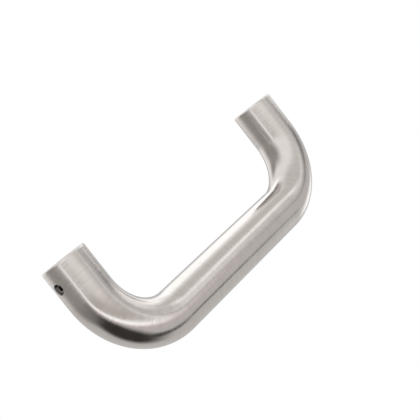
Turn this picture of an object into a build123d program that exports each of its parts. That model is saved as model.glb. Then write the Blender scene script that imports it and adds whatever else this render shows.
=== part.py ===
from build123d import *
import os

# Bridge pull handle: one bent stainless tube whose two legs stand on the door,
# with a turned plug bonded in each end and a set screw in the outer side of each
# leg. Each plug slides over a fixing stud, and its set screw locks it there.
#
# Frame: millimetres, +Z from the door to the grip, X along the grip, and the
# origin on the door face, midway between the legs.

# Tube
TUBE_DIAMETER = 22.0        # outside
TUBE_WALL = 1.5
FIXING_CENTRES = 150.0      # from one leg's axis to the other's
PROJECTION = 60.0           # from the door face to the top of the grip
BEND_RADIUS = 30.0          # of the tube's centreline
RIM_ROUND = 0.7             # outer edge of each end, broken by polishing

# End plugs
PLUG_LENGTH = 17.0
PLUG_BOND_GAP = 0.05        # on the radius, filled by adhesive
PLUG_CHAMFER = 0.6          # lead-in at the inner end
STUD_DIAMETER = 8.0         # fixing stud that the plug slides over
STUD_CLEARANCE = 0.1        # on the radius
STUD_HOLE_DEPTH = 13.0
DRILL_POINT_ANGLE = 118.0   # cone at the bottom of the stud hole
MOUTH_CHAMFER = 0.5

# Set screws
SCREW_DIAMETER = 5.0
SCREW_HEIGHT = 9.0          # of its axis above the door
SCREW_CLEARANCE = 0.02      # on the radius, in the plug
SCREW_ACCESS_GAP = 0.1      # on the radius, in the tube's wall
SCREW_BACK_OFF = 0.5        # tip behind the stud hole's wall before it is tightened
SCREW_RECESS = 1.4          # outer end below the tube's surface
SCREW_CHAMFER = 0.5
CUP_DIAMETER = 2.5          # hollow point that bites into the stud
SOCKET_ACROSS_FLATS = 2.5
SOCKET_DEPTH = 2.2

tube_radius = TUBE_DIAMETER / 2
tube_bore_radius = tube_radius - TUBE_WALL
plug_radius = tube_bore_radius - PLUG_BOND_GAP
stud_hole_radius = STUD_DIAMETER / 2 + STUD_CLEARANCE
screw_radius = SCREW_DIAMETER / 2
leg_x = FIXING_CENTRES / 2
grip_z = PROJECTION - tube_radius
screw_tip = stud_hole_radius + SCREW_BACK_OFF
screw_length = tube_radius - SCREW_RECESS - screw_tip


def centreline():
    """Up one leg, along the grip and down the other leg, with two equal bends."""
    corners = [(-leg_x, 0, 0), (-leg_x, 0, grip_z), (leg_x, 0, grip_z), (leg_x, 0, 0)]
    return FilletPolyline(*corners, radius=BEND_RADIUS)


def screw_tunnel(side, radius):
    """A rod along the set screw's axis, from the leg's axis out past the tube."""
    rod = Cylinder(radius, TUBE_DIAMETER, align=(Align.CENTER, Align.CENTER, Align.MIN))
    return Pos(side * leg_x, 0, SCREW_HEIGHT) * Rot(0, side * 90, 0) * rod


def handle_tube():
    """The bent tube, hollow from end to end, with a screw hole in each leg."""
    path = centreline()
    start = Plane(path @ 0, z_dir=path % 0)
    solid = sweep(start * Circle(tube_radius), path)
    rims = solid.edges().filter_by(GeomType.CIRCLE).filter_by_position(Axis.Z, -0.01, 0.01)
    solid = fillet(rims, min(RIM_ROUND, TUBE_WALL / 2))
    solid -= sweep(start * Circle(tube_bore_radius), path)
    for side in (-1, 1):
        solid -= screw_tunnel(side, screw_radius + SCREW_ACCESS_GAP)
    return solid


def end_plug(side):
    """Turned plug with a blind stud hole and a cross hole for its set screw."""
    base = (Align.CENTER, Align.CENTER, Align.MIN)
    plug = Cylinder(plug_radius, PLUG_LENGTH, align=base)
    plug = chamfer(plug.edges().group_by(Axis.Z)[-1], PLUG_CHAMFER)
    plug -= stud_hole()
    plug = Pos(side * leg_x, 0, 0) * plug
    return plug - screw_tunnel(side, screw_radius + SCREW_CLEARANCE)


def stud_hole():
    """Outline of the drilled hole, turned about Z: mouth, wall and drill point."""
    mouth_radius = stud_hole_radius + MOUTH_CHAMFER
    point_height = stud_hole_radius / tan_of(DRILL_POINT_ANGLE / 2)
    profile = Polyline(
        (0, 0),
        (mouth_radius, 0),
        (stud_hole_radius, MOUTH_CHAMFER),
        (stud_hole_radius, STUD_HOLE_DEPTH),
        (0, STUD_HOLE_DEPTH + point_height),
        close=True,
    )
    return revolve(Plane.XZ * make_face(profile), Axis.Z)


def tan_of(degrees):
    """Tangent of an angle, taken from a unit vector turned by it."""
    turned = Vector(1, 0, 0).rotate(Axis.Z, degrees)
    return turned.Y / turned.X


def set_screw(side):
    """Headless screw with a hollow point and a hexagon socket, pointing at the stud."""
    base = (Align.CENTER, Align.CENTER, Align.MIN)
    screw = Cylinder(screw_radius, screw_length, align=base)
    screw = chamfer(screw.edges().filter_by(GeomType.CIRCLE), SCREW_CHAMFER)
    cup = Cone(CUP_DIAMETER / 2, 0, CUP_DIAMETER / 2, align=base)
    hexagon = RegularPolygon(SOCKET_ACROSS_FLATS / 2, 6, major_radius=False)
    socket = extrude(Pos(0, 0, screw_length) * hexagon, -SOCKET_DEPTH)
    screw = screw - cup - socket
    return Pos(side * (leg_x + screw_tip), 0, SCREW_HEIGHT) * Rot(0, side * 90, 0) * screw


os.makedirs("parts", exist_ok=True)
export_step(handle_tube(), "parts/handle_tube.step")
for name, side in (("left", -1), ("right", 1)):
    export_step(end_plug(side), f"parts/{name}_end_plug.step")
    export_step(set_screw(side), f"parts/{name}_set_screw.step")
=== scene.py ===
from collections import namedtuple
from math import cos, hypot, pi, radians, sin

import bpy
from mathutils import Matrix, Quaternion, Vector


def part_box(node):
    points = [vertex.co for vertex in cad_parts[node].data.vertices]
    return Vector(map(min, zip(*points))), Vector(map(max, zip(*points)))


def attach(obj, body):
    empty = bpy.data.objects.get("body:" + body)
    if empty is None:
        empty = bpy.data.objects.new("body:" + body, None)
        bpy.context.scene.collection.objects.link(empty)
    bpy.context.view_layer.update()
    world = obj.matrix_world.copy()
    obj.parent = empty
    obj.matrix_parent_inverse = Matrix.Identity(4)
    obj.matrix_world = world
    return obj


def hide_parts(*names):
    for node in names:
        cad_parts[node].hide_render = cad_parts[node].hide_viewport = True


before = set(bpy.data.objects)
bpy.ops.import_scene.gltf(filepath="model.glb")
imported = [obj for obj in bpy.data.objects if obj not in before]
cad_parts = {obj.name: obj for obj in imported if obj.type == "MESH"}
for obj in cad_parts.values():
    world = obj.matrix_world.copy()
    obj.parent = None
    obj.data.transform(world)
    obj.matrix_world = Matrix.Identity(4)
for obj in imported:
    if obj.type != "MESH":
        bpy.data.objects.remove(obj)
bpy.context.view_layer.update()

bl_info = {
    "name": "Bridge pull handle",
    "version": (1, 0, 0),
    "blender": (4, 5, 0),
    "location": "View3D > Sidebar > Pull handle",
    "description": "A bent satin tube with its end plugs and set screws, in a pale studio",
    "category": "Object",
}

TUBE_NODE = "handle_tube"
PLUG_NODES = ("left_end_plug", "right_end_plug")
SCREW_NODES = ("left_set_screw", "right_set_screw")
SIDES = (-1, 1)

TUBE_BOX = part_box(TUBE_NODE)
PLUG_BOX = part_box(PLUG_NODES[1])
SCREW_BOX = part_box(SCREW_NODES[1])

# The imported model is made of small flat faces, so a length read from it is rounded.
FIXING_CENTRES = round(PLUG_BOX[0][0] + PLUG_BOX[1][0], 4)
TUBE_DIAMETER = round(2 * TUBE_BOX[1][0] - FIXING_CENTRES, 4)
PROJECTION = round(TUBE_BOX[1][2], 4)
SCREW_HEIGHT = round((SCREW_BOX[0][2] + SCREW_BOX[1][2]) / 2, 4)

# How the tube's mesh is made
ROUND_STEPS = 96
LEG_STEPS = 20
BEND_STEPS = 48
GRIP_STEPS = 45
RIM_STEPS = 4
HOLE_STEPS = 48
MERGE_DISTANCE = 1e-6           # metres
RIM_TOLERANCE = 0.1             # of the wall, for finding the rims
SMOOTH_UP_TO = radians(35)      # sharper edges stay sharp

# Satin steel has fine lines, broad lines, and cloudy patches that cross both.
BROAD_LINE_WIDTH = 5            # fine lines
BROAD_LINE_LENGTH = 3           # fine lines
BROAD_LINE_DEPTH = 0.6          # of a fine line
BROAD_LINE_ROUGHNESS = 0.06     # from the smoothest line to the roughest
CLOUD_LENGTH = 0.004            # metres along the tube
CLOUD_WIDTH = 0.007             # metres round it
CLOUD_ROUGHNESS = 0.12          # from the smoothest patch to the roughest
SATIN_TONES = (0.96, 1.03)      # darkest and lightest part of the colour
SATIN_FADE = (0.3, 0.7)         # noise that gives the darkest and the lightest

# Turned steel has the lathe's rings and patches of wear.
RING_DEPTH = 0.5                # of the tool depth
WEAR_SIZE = 0.0015              # metres
WEAR_DEPTH = 0.8                # of the tool depth
WEAR_ROUGHNESS = 0.25
TURNED_TONES = (0.88, 1.08)
TURNED_FADE = (0.35, 0.65)

# Screw steel has small blotches.
BLOTCH_SIZE = 0.001             # metres
BLOTCH_DEPTH = 0.00001          # metres
BLOTCH_ROUGHNESS = 0.3
SCREW_TONES = (0.75, 1.1)
SCREW_FADE = (0.35, 0.65)

NOISE_MIDDLE = 0.5
LINE_DETAIL = 2.0
PATCH_DETAIL = 3.0

WHITE = (1, 1, 1, 1)
CAMERA_CLIP = (0.01, 100)       # nearest and farthest that it sees, in metres


# ---------------------------------------------------------------- sizes, finishes and studio

def length(name, default, description):
    """A length in metres."""
    return bpy.props.FloatProperty(
        name=name,
        description=description,
        default=default,
        precision=5,
        subtype="DISTANCE",
        unit="LENGTH",
    )


def angle(name, degrees, description):
    """An angle, given in degrees and kept in radians."""
    return bpy.props.FloatProperty(
        name=name,
        description=description,
        default=radians(degrees),
        subtype="ANGLE",
        unit="ROTATION",
    )


def amount(name, default, description):
    """A plain number from nothing to 1."""
    return bpy.props.FloatProperty(
        name=name,
        description=description,
        default=default,
        min=0,
        max=1,
        precision=3,
        subtype="FACTOR",
    )


def colour(name, default, description):
    """A colour in linear light."""
    return bpy.props.FloatVectorProperty(
        name=name,
        description=description,
        default=default,
        size=3,
        min=0,
        max=1,
        subtype="COLOR",
    )


class HandleSizes(bpy.types.PropertyGroup):
    """Sizes of the tube and of the holes in it"""

    tube_diameter: length("Tube diameter", TUBE_DIAMETER, "Outside of the tube")
    wall: length("Wall", 0.0015, "Thickness of the tube's wall")
    fixing_centres: length("Fixing centres", FIXING_CENTRES, "From one leg's axis to the other's")
    projection: length("Projection", PROJECTION, "From the door's face to the top of the grip")
    bend_radius: length("Bend radius", 0.030, "Of the tube's centreline")
    rim_round: length("Rim rounding", 0.0007, "Outer edge of each end, broken by polishing")
    screw_height: length("Screw height", SCREW_HEIGHT, "Of the set screws above the door's face")
    screw_hole: length("Screw hole", 0.0052, "Diameter of the hole over each set screw")


class HandleFinishes(bpy.types.PropertyGroup):
    """Colours and surface detail of the three kinds of steel"""

    satin_colour: colour("Satin steel", (0.62, 0.597, 0.585), "Colour of the tube")
    satin_roughness: amount("Satin roughness", 0.13, "How far the tube blurs what it mirrors")
    grain_pitch: length("Grain pitch", 0.0002, "Width of one polishing line, along the tube")
    grain_length: length("Grain length", 0.006, "Length of one polishing line, round the tube")
    grain_depth: length("Grain depth", 0.00002, "Depth of the polishing lines")
    turned_colour: colour("Turned steel", (0.55, 0.54, 0.52), "Colour of the end plugs")
    turned_roughness: amount("Turned roughness", 0.3, "How matt the end plugs are")
    tool_pitch: length("Tool pitch", 0.00025, "Distance between the rings that the lathe left")
    tool_depth: length("Tool depth", 0.00001, "Depth of those rings")
    screw_colour: colour("Screw steel", (0.30, 0.30, 0.30), "Colour of the set screws")
    screw_roughness: amount("Screw roughness", 0.35, "How matt the set screws are")


class HandleStudio(bpy.types.PropertyGroup):
    """Camera and floor"""

    camera_azimuth: angle("Camera azimuth", -137.35, "From the front, towards the right leg")
    camera_elevation: angle("Camera elevation", -4.01, "Above the horizon")
    camera_roll: angle("Camera roll", -141.98, "Turn of the camera about its own line of sight")
    camera_distance: length("Camera distance", 0.4785, "From the point that it looks at")
    camera_lens: bpy.props.FloatProperty(
        name="Lens",
        description="Focal length for a sensor 36 mm wide",
        default=87.85,
        unit="CAMERA",
    )
    look_at: bpy.props.FloatVectorProperty(
        name="Looks at",
        description="Point in the middle of the picture",
        default=(0.00419, 0.00389, 0.02538),
        size=3,
        precision=5,
        subtype="TRANSLATION",
        unit="LENGTH",
    )
    floor_drop: length("Floor drop", 0.5, "From the handle's feet down to the floor")
    floor_width: length("Floor width", 40, "Side of the square floor")
    floor_colour: colour("Floor colour", (0.93, 0.92, 0.91), "Pale grey")


# ---------------------------------------------------------------- shading

class Number:
    """A number that varies over a surface. An expression on it adds its Math nodes."""

    def __init__(self, maker, socket):
        self.maker = maker
        self.socket = socket

    def math(self, operation, *values):
        node = self.maker.node("ShaderNodeMath", {"operation": operation}, dict(enumerate(values)))
        return Number(self.maker, node.outputs[0])

    def __add__(self, other):
        return self.math("ADD", self, other)

    def __sub__(self, other):
        return self.math("SUBTRACT", self, other)

    def __mul__(self, other):
        return self.math("MULTIPLY", self, other)

    def __truediv__(self, other):
        return self.math("DIVIDE", self, other)

    def __pow__(self, other):
        return self.math("POWER", self, other)

    def __radd__(self, other):
        return self.math("ADD", other, self)

    def __rsub__(self, other):
        return self.math("SUBTRACT", other, self)

    def __rmul__(self, other):
        return self.math("MULTIPLY", other, self)

    def __rtruediv__(self, other):
        return self.math("DIVIDE", other, self)

    def __rpow__(self, other):
        return self.math("POWER", other, self)

    def __abs__(self):
        return self.math("ABSOLUTE", self)

    def at_least(self, lowest):
        return self.math("MAXIMUM", self, lowest)

    def sign(self):
        return self.math("SIGN", self)

    def root(self):
        return self.math("SQRT", self)

    def sine(self):
        return self.math("SINE", self)

    def arcsine(self):
        return self.math("ARCSINE", self)

    def angle_over(self, other):
        return self.math("ARCTAN2", self, other)

    def fade(self, start, end):
        """Nothing up to start, 1 from end on, and a smooth slope between them."""
        settings = {"interpolation_type": "SMOOTHSTEP"}
        node = self.maker.node(
            "ShaderNodeMapRange", settings, {"Value": self, "From Min": start, "From Max": end}
        )
        return Number(self.maker, node.outputs["Result"])


class NodeMaker:
    """Adds nodes to one material or world."""

    def __init__(self, tree):
        self.tree = tree
        tree.nodes.clear()

    def node(self, kind, settings=None, sockets=None):
        """A node of a kind, with its settings made first and its sockets set or linked."""
        node = self.tree.nodes.new(kind)
        for name, value in (settings or {}).items():
            setattr(node, name, value)
        for name, value in (sockets or {}).items():
            self.feed(node.inputs[name], value)
        return node

    def feed(self, socket, value):
        if isinstance(value, Number):
            value = value.socket
        if isinstance(value, bpy.types.NodeSocket):
            self.tree.links.new(value, socket)
        else:
            socket.default_value = value

    def number(self, socket):
        return Number(self, socket)

    def split(self, vector):
        node = self.node("ShaderNodeSeparateXYZ", sockets={"Vector": vector})
        return [self.number(output) for output in node.outputs]

    def join(self, x, y, z):
        return self.node("ShaderNodeCombineXYZ", sockets={"X": x, "Y": y, "Z": z}).outputs["Vector"]

    def dot(self, vector, direction):
        node = self.node(
            "ShaderNodeVectorMath", {"operation": "DOT_PRODUCT"}, {0: vector, 1: tuple(direction)}
        )
        return self.number(node.outputs["Value"])

    def mix(self, factor, first, second):
        """Goes from the first colour to the second as the factor goes from nothing to 1.

        A Mix node's sockets for numbers, vectors and colours share their names, so the
        colours are given by their place.
        """
        first_colour, second_colour, mixed_colour = 6, 7, 2
        sockets = {"Factor": factor, first_colour: first, second_colour: second}
        return self.node("ShaderNodeMix", {"data_type": "RGBA"}, sockets).outputs[mixed_colour]

    def noise(self, vector, detail=PATCH_DETAIL):
        sockets = {"Vector": vector, "Scale": 1.0, "Detail": detail}
        return self.number(self.node("ShaderNodeTexNoise", sockets=sockets).outputs["Fac"])

    def bump(self, height, depth):
        sockets = {"Height": height, "Distance": depth, "Strength": 1.0}
        return self.node("ShaderNodeBump", sockets=sockets).outputs["Normal"]

    def steel(self, base, roughness, normal):
        sockets = {"Base Color": base, "Roughness": roughness, "Metallic": 1.0, "Normal": normal}
        shader = self.node("ShaderNodeBsdfPrincipled", sockets=sockets).outputs["BSDF"]
        self.node("ShaderNodeOutputMaterial", sockets={"Surface": shader})


def new_material(name):
    material = bpy.data.materials.new(name)
    material.use_nodes = True
    return material, NodeMaker(material.node_tree)


def opaque(shade, brightness=1.0):
    """A colour with its alpha, made lighter or darker."""
    return (shade[0] * brightness, shade[1] * brightness, shade[2] * brightness, 1.0)


def tones(shade, brightnesses):
    """The darkest and the lightest form of a colour."""
    return [opaque(shade, brightness) for brightness in brightnesses]


def unrolled(maker, sizes):
    """Place on the tube as if it were straight: along it from the middle, sideways, outwards."""
    half_grip = sizes.fixing_centres / 2 - sizes.bend_radius
    leg_top = sizes.projection - sizes.tube_diameter / 2 - sizes.bend_radius
    place = maker.node("ShaderNodeTexCoord").outputs["Object"]
    x, y, z = maker.split(place)
    past_grip = (abs(x) - half_grip).at_least(0)
    short_of_bend = (half_grip - abs(x)).at_least(0)
    past_leg = (z - leg_top).at_least(0)
    down_leg = (leg_top - z).at_least(0)
    turned = pi / 2 - past_leg.angle_over(past_grip)
    along = half_grip - short_of_bend + sizes.bend_radius * turned + down_leg
    outward = (past_grip * past_grip + past_leg * past_leg).root() - sizes.bend_radius
    return along * x.sign(), y, outward


def satin_steel(sizes, finishes):
    """Steel polished with a belt that ran round the tube, so its fine lines run round it too."""
    material, maker = new_material("satin_steel")
    along, sideways, outward = unrolled(maker, sizes)

    def streaks(width, reach, detail):
        """Noise stretched round the tube: its width along the tube, and its reach round it."""
        place = maker.join(along / width, sideways / reach, outward / reach)
        return maker.noise(place, detail)

    pitch, reach = finishes.grain_pitch, finishes.grain_length
    fine = streaks(pitch, reach, LINE_DETAIL)
    broad = streaks(pitch * BROAD_LINE_WIDTH, reach * BROAD_LINE_LENGTH, LINE_DETAIL)
    cloud = streaks(CLOUD_LENGTH, CLOUD_WIDTH, PATCH_DETAIL)
    height = fine + broad * BROAD_LINE_DEPTH
    roughness = finishes.satin_roughness + (cloud - NOISE_MIDDLE) * CLOUD_ROUGHNESS
    roughness = roughness + (broad - NOISE_MIDDLE) * BROAD_LINE_ROUGHNESS
    tone = ((cloud + broad) / 2).fade(*SATIN_FADE)
    base = maker.mix(tone, *tones(finishes.satin_colour, SATIN_TONES))
    maker.steel(base, roughness, maker.bump(height, finishes.grain_depth))
    return material


def turned_steel(sizes, finishes):
    """Steel faced on a lathe, with fine rings about the leg's axis."""
    material, maker = new_material("turned_steel")
    place = maker.node("ShaderNodeTexCoord").outputs["Object"]
    x, y, z = maker.split(place)
    from_axis = abs(x) - sizes.fixing_centres / 2
    radius = (from_axis * from_axis + y * y).root()
    rings = ((radius + z) * (2 * pi / finishes.tool_pitch)).sine()
    wear = maker.noise(maker.join(x / WEAR_SIZE, y / WEAR_SIZE, z / WEAR_SIZE))
    height = rings * RING_DEPTH + wear * WEAR_DEPTH
    base = maker.mix(wear.fade(*TURNED_FADE), *tones(finishes.turned_colour, TURNED_TONES))
    roughness = finishes.turned_roughness + (wear - NOISE_MIDDLE) * WEAR_ROUGHNESS
    maker.steel(base, roughness, maker.bump(height, finishes.tool_depth))
    return material


def screw_steel(finishes):
    """Dark hardened steel, slightly uneven from its heat treatment."""
    material, maker = new_material("dark_screw_steel")
    place = maker.node("ShaderNodeTexCoord").outputs["Object"]
    x, y, z = maker.split(place)
    blotch = maker.noise(maker.join(x / BLOTCH_SIZE, y / BLOTCH_SIZE, z / BLOTCH_SIZE))
    base = maker.mix(blotch.fade(*SCREW_FADE), *tones(finishes.screw_colour, SCREW_TONES))
    roughness = finishes.screw_roughness + (blotch - NOISE_MIDDLE) * BLOTCH_ROUGHNESS
    maker.steel(base, roughness, maker.bump(blotch, BLOTCH_DEPTH))
    return material


# ---------------------------------------------------------------- modelling

def deselect_all():
    bpy.ops.object.select_all(action="DESELECT")


def pick(piece):
    """Selects a piece alone and makes it the active one."""
    deselect_all()
    piece.select_set(True)
    bpy.context.view_layer.objects.active = piece


def start_editing(piece):
    pick(piece)
    bpy.ops.object.mode_set(mode="EDIT")


def stop_editing():
    bpy.ops.object.mode_set(mode="OBJECT")


def draw_out(step, count):
    """Extrudes what is selected, in equal steps."""
    for _ in range(count):
        bpy.ops.mesh.extrude_region_move(TRANSFORM_OT_translate={"value": step})


def bend_over(centre, count):
    """Spins what is selected a quarter turn, from pointing along one straight to the next."""
    bpy.ops.mesh.spin(steps=count, angle=-pi / 2, center=centre, axis=(0, 1, 0))


def bend_tube(sizes):
    """The tube's outer skin: up one leg, along the grip and down the other leg."""
    radius = sizes.tube_diameter / 2
    leg_x = sizes.fixing_centres / 2
    half_grip = leg_x - sizes.bend_radius
    leg_top = sizes.projection - radius - sizes.bend_radius
    deselect_all()
    bpy.ops.mesh.primitive_circle_add(
        vertices=ROUND_STEPS, radius=radius, location=(-leg_x, 0, 0)
    )
    tube = bpy.context.object
    tube.name = "satin_tube"
    bpy.ops.object.transform_apply(location=True, rotation=False, scale=False)
    start_editing(tube)
    bpy.ops.mesh.select_all(action="SELECT")
    draw_out((0, 0, leg_top / LEG_STEPS), LEG_STEPS)
    bend_over((-half_grip, 0, leg_top), BEND_STEPS)
    draw_out((2 * half_grip / GRIP_STEPS, 0, 0), GRIP_STEPS)
    bend_over((half_grip, 0, leg_top), BEND_STEPS)
    draw_out((0, 0, -leg_top / LEG_STEPS), LEG_STEPS)
    bpy.ops.mesh.select_all(action="SELECT")
    bpy.ops.mesh.remove_doubles(threshold=MERGE_DISTANCE)
    bpy.ops.mesh.normals_make_consistent(inside=False)
    stop_editing()
    return tube


def thicken(tube, sizes):
    """Gives the skin its wall, inwards."""
    pick(tube)
    wall = tube.modifiers.new("wall", "SOLIDIFY")
    wall.thickness = sizes.wall
    wall.offset = -1
    wall.use_even_offset = True
    bpy.ops.object.modifier_apply(modifier=wall.name)


def round_rims(tube, sizes):
    """Breaks the outer edge of both ends."""
    rim_radius = sizes.tube_diameter / 2
    leg_x = sizes.fixing_centres / 2
    near = sizes.wall * RIM_TOLERANCE

    def on_rim(vertex):
        x, y, z = vertex.co
        return abs(z) < near and abs(hypot(abs(x) - leg_x, y) - rim_radius) < near

    start_editing(tube)
    bpy.ops.mesh.select_mode(type="EDGE")
    bpy.ops.mesh.select_all(action="DESELECT")
    stop_editing()
    vertices = tube.data.vertices
    for edge in tube.data.edges:
        edge.select = all(on_rim(vertices[index]) for index in edge.vertices)
    start_editing(tube)
    bpy.ops.mesh.bevel(offset=sizes.rim_round, segments=RIM_STEPS, affect="EDGES")
    stop_editing()


def drill(tube, sizes, side):
    """Cuts the hole over one set screw through the outer side of its leg."""
    leg_x = sizes.fixing_centres / 2
    deselect_all()
    bpy.ops.mesh.primitive_cylinder_add(
        vertices=HOLE_STEPS,
        radius=sizes.screw_hole / 2,
        depth=sizes.tube_diameter / 2,
        location=(side * (leg_x + sizes.tube_diameter / 2), 0, sizes.screw_height),
        rotation=(0, pi / 2, 0),
    )
    cutter = bpy.context.object
    pick(tube)
    cut = tube.modifiers.new("hole", "BOOLEAN")
    cut.operation = "DIFFERENCE"
    cut.solver = "EXACT"
    cut.object = cutter
    bpy.ops.object.modifier_apply(modifier=cut.name)
    bpy.data.objects.remove(cutter, do_unlink=True)


class HANDLE_OT_tube(bpy.types.Operator):
    """Bend the tube, give it its wall, round its ends and drill it for the set screws"""

    bl_idname = "pull_handle.tube"
    bl_label = "Bent tube"

    def execute(self, context):
        sizes = context.scene.handle_sizes
        tube = bend_tube(sizes)
        thicken(tube, sizes)
        round_rims(tube, sizes)
        for side in SIDES:
            drill(tube, sizes, side)
        pick(tube)
        bpy.ops.object.shade_smooth_by_angle(angle=SMOOTH_UP_TO)
        tube.data.materials.append(satin_steel(sizes, context.scene.handle_finishes))
        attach(tube, "root")
        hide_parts(TUBE_NODE)
        return {"FINISHED"}


def finish_node(name, material):
    """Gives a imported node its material, in every slot that it has."""
    node = bpy.data.objects[name]
    if not node.material_slots:
        node.data.materials.append(material)
    for slot in node.material_slots:
        slot.material = material


class HANDLE_OT_plugs(bpy.types.Operator):
    """Finish the two end plugs"""

    bl_idname = "pull_handle.plugs"
    bl_label = "End plugs"

    def execute(self, context):
        scene = context.scene
        material = turned_steel(scene.handle_sizes, scene.handle_finishes)
        for name in PLUG_NODES:
            finish_node(name, material)
        return {"FINISHED"}


class HANDLE_OT_screws(bpy.types.Operator):
    """Finish the two set screws"""

    bl_idname = "pull_handle.screws"
    bl_label = "Set screws"

    def execute(self, context):
        material = screw_steel(context.scene.handle_finishes)
        for name in SCREW_NODES:
            finish_node(name, material)
        return {"FINISHED"}


# ---------------------------------------------------------------- studio

# A soft light or a card, far away: its direction, half its width and height, its turn, how
# soft its edge is, how square it is (2 is an ellipse) and its glow. Angles are in degrees.
# A card hides those before it, and the floor's glow hides the upper cards and is hidden by
# the lower ones. The azimuth runs from +Y towards +X.
Card = namedtuple("Card", "azimuth elevation width height turn softness squareness glow")

ROOM_GLOW = (0.70, 0.68, 0.655, 1)
FLOOR_GLOW = (1.17, 1.14, 1.11, 1)
FLOOR_FADE = (radians(0.6), radians(2.8))   # elevations from all floor to all room

UPPER_CARDS = (
    # Glare on the outer side of the right bend
    Card(98, 29, 14, 11, 0, 0.5, 2, (1.4, 1.38, 1.35, 1)),
    # Black patch over the left bend, and its dark streak on to the grip
    Card(-87, 54, 31, 40, 0, 0.4, 2.5, (0.05, 0.045, 0.04, 1)),
    Card(38, 66, 25, 4.5, -62, 0.6, 2, (0.12, 0.115, 0.11, 1)),
    Card(14, 74, 13, 7, -45, 0.5, 2, (0.08, 0.075, 0.07, 1)),
    # Dark band along the outer side of the left leg, and into its bend
    Card(-100, 8, 33, 20, 0, 0.5, 2.5, (0.24, 0.23, 0.22, 1)),
    # Large light: a pinkish rim, a bright ring, its beige inside and a pale middle
    Card(-13, 4, 59, 45, 0, 0.12, 2, (0.72, 0.63, 0.61, 1)),
    Card(-14, 4, 50.5, 36, 0, 0.08, 2, (1.9, 1.9, 1.9, 1)),
    Card(-13, 3, 47, 30, 0, 0.1, 2, (0.66, 0.62, 0.575, 1)),
    Card(-4, 2, 24, 9, 0, 0.6, 2, (0.98, 0.94, 0.88, 1)),
    # Thin dark line along the grip
    Card(60, 41.5, 5, 2.5, -54, 0.6, 2, (0.10, 0.10, 0.095, 1)),
)
LOWER_CARDS = (
    # Dark band along the outer side of the left leg and the inner side of the right leg and bend
    Card(-112, -22, 40, 34, 0, 0.5, 2.5, (0.41, 0.385, 0.36, 1)),
    Card(-145, -45, 34, 13, 10, 0.5, 2, (0.45, 0.42, 0.39, 1)),
    # Grey over the middle of the right bend
    Card(30, -36, 28, 38, 0, 0.4, 2.5, (0.80, 0.77, 0.74, 1)),
    # White band along the inner side of the grip, from one bend into the other
    Card(117, -48, 16, 28, 0, 0.3, 2.2, (1.6, 1.6, 1.58, 1)),
    Card(93, -20, 19, 9, 0, 0.5, 2, (1.5, 1.48, 1.45, 1)),
    # Beige band beside the white one on the grip
    Card(60, -32, 17, 18, 0, 0.35, 2.5, (0.80, 0.765, 0.72, 1)),
    # Dark streak along the outer side of the right bend and leg and the inner side of the left leg
    Card(62, 6, 18, 5, 0, 0.5, 2, (0.30, 0.295, 0.29, 1)),
    # Beige over the lower right of the bright ring
    Card(42, 0, 12, 8, 0, 0.4, 2, (0.72, 0.70, 0.675, 1)),
    Card(50, -11, 8, 7, 0, 0.5, 2, (0.76, 0.74, 0.71, 1)),
    # Bright line along the middle of the grip, from where the left bend ends
    Card(38.5, -7, 2.3, 9, 14, 0.5, 2, (1.35, 1.33, 1.3, 1)),
    Card(46.5, -22, 9, 4, -35, 0.6, 2, (1.5, 1.48, 1.45, 1)),
    # Grey behind the handle, which edges its outline
    Card(137, 4, 28, 28, 0, 0.2, 2, (0.62, 0.62, 0.63, 1)),
)


def card_axes(card):
    """Unit vectors towards a card, to its right and to its top."""
    azimuth, elevation, turn = radians(card.azimuth), radians(card.elevation), radians(card.turn)
    ahead = Vector((sin(azimuth) * cos(elevation), cos(azimuth) * cos(elevation), sin(elevation)))
    level = Vector((cos(azimuth), -sin(azimuth), 0))
    upright = level.cross(ahead)
    right = level * cos(turn) + upright * sin(turn)
    top = upright * cos(turn) - level * sin(turn)
    return ahead, right, top


def card_mask(maker, direction, card):
    """1 on the card, nothing off it, and a soft slope over its edge."""
    ahead, right, top = (maker.dot(direction, axis) for axis in card_axes(card))
    across = abs(right.angle_over(ahead)) / radians(card.width)
    upwards = abs(top.arcsine()) / radians(card.height)
    reach = (across ** card.squareness + upwards ** card.squareness) ** (1 / card.squareness)
    return 1 - reach.fade(1 - card.softness, 1 + card.softness)


def studio_sky():
    """Soft lights and cards for the steel to mirror, and plain white behind the handle."""
    world = bpy.data.worlds.new("studio")
    world.use_nodes = True
    maker = NodeMaker(world.node_tree)
    direction = maker.node("ShaderNodeTexCoord").outputs["Generated"]
    glow = ROOM_GLOW
    for card in UPPER_CARDS:
        glow = maker.mix(card_mask(maker, direction, card), glow, card.glow)
    elevation = maker.split(direction)[2].arcsine()
    glow = maker.mix(1 - elevation.fade(*FLOOR_FADE), glow, FLOOR_GLOW)
    for card in LOWER_CARDS:
        glow = maker.mix(card_mask(maker, direction, card), glow, card.glow)
    seen = maker.node("ShaderNodeLightPath").outputs["Is Camera Ray"]
    glow = maker.mix(seen, glow, WHITE)
    background = maker.node("ShaderNodeBackground", sockets={"Color": glow, "Strength": 1.0})
    maker.node("ShaderNodeOutputWorld", sockets={"Surface": background.outputs["Background"]})
    return world


def pale_floor(studio):
    """A plain pale floor, well below the handle. The steel mirrors the cards and not it."""
    deselect_all()
    bpy.ops.mesh.primitive_plane_add(size=studio.floor_width, location=(0, 0, -studio.floor_drop))
    floor = bpy.context.object
    floor.name = "floor"
    material, maker = new_material("pale_floor")
    shade = opaque(studio.floor_colour)
    sockets = {"Base Color": shade, "Emission Color": shade, "Emission Strength": 1.0}
    shader = maker.node("ShaderNodeBsdfPrincipled", sockets=sockets).outputs["BSDF"]
    maker.node("ShaderNodeOutputMaterial", sockets={"Surface": shader})
    floor.data.materials.append(material)
    floor.visible_glossy = False


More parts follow.
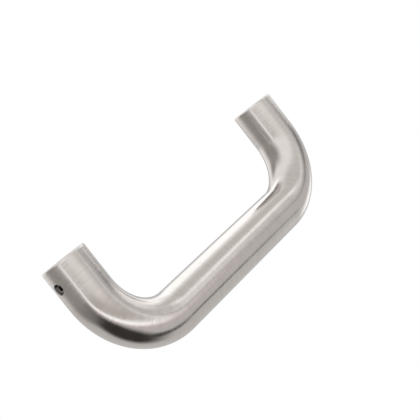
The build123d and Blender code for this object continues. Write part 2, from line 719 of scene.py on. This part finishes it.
def place_camera(scene, studio):
    """Stands the camera off the point that it looks at, and rolls it."""
    azimuth, elevation = studio.camera_azimuth, studio.camera_elevation
    towards = Vector((sin(azimuth) * cos(elevation), -cos(azimuth) * cos(elevation), sin(elevation)))
    lens = bpy.data.cameras.new("camera")
    lens.lens = studio.camera_lens
    lens.clip_start, lens.clip_end = CAMERA_CLIP
    camera = bpy.data.objects.new("camera", lens)
    scene.collection.objects.link(camera)
    roll = Quaternion((0, 0, 1), -studio.camera_roll)
    camera.rotation_mode = "QUATERNION"
    camera.rotation_quaternion = towards.to_track_quat("Z", "Y") @ roll
    camera.location = Vector(studio.look_at) + towards * studio.camera_distance
    scene.camera = camera


class HANDLE_OT_stage(bpy.types.Operator):
    """Set up the lights, the floor and the camera"""

    bl_idname = "pull_handle.stage"
    bl_label = "Studio"

    def execute(self, context):
        scene = context.scene
        scene.world = studio_sky()
        scene.view_settings.view_transform = "Standard"
        pale_floor(scene.handle_studio)
        place_camera(scene, scene.handle_studio)
        return {"FINISHED"}


# ---------------------------------------------------------------- add-on

class HANDLE_PT_panel(bpy.types.Panel):
    """Sizes, finishes and the steps that make the handle"""

    bl_idname = "HANDLE_PT_panel"
    bl_label = "Pull handle"
    bl_space_type = "VIEW_3D"
    bl_region_type = "UI"
    bl_category = "Pull handle"

    def draw(self, context):
        scene = context.scene
        for group in (scene.handle_sizes, scene.handle_finishes, scene.handle_studio):
            box = self.layout.box()
            for name in group.bl_rna.properties.keys():
                if name not in ("rna_type", "name"):
                    box.prop(group, name)
        for operator in OPERATORS:
            self.layout.operator(operator.bl_idname)


OPERATORS = (HANDLE_OT_tube, HANDLE_OT_plugs, HANDLE_OT_screws, HANDLE_OT_stage)
CLASSES = (HandleSizes, HandleFinishes, HandleStudio) + OPERATORS + (HANDLE_PT_panel,)


def register():
    for cls in CLASSES:
        bpy.utils.register_class(cls)
    bpy.types.Scene.handle_sizes = bpy.props.PointerProperty(type=HandleSizes)
    bpy.types.Scene.handle_finishes = bpy.props.PointerProperty(type=HandleFinishes)
    bpy.types.Scene.handle_studio = bpy.props.PointerProperty(type=HandleStudio)


def unregister():
    del bpy.types.Scene.handle_studio
    del bpy.types.Scene.handle_finishes
    del bpy.types.Scene.handle_sizes
    for cls in reversed(CLASSES):
        bpy.utils.unregister_class(cls)


def main():
    register()
    bpy.ops.pull_handle.tube()
    bpy.ops.pull_handle.plugs()
    bpy.ops.pull_handle.screws()
    bpy.ops.pull_handle.stage()


if __name__ == "__main__":
    main()
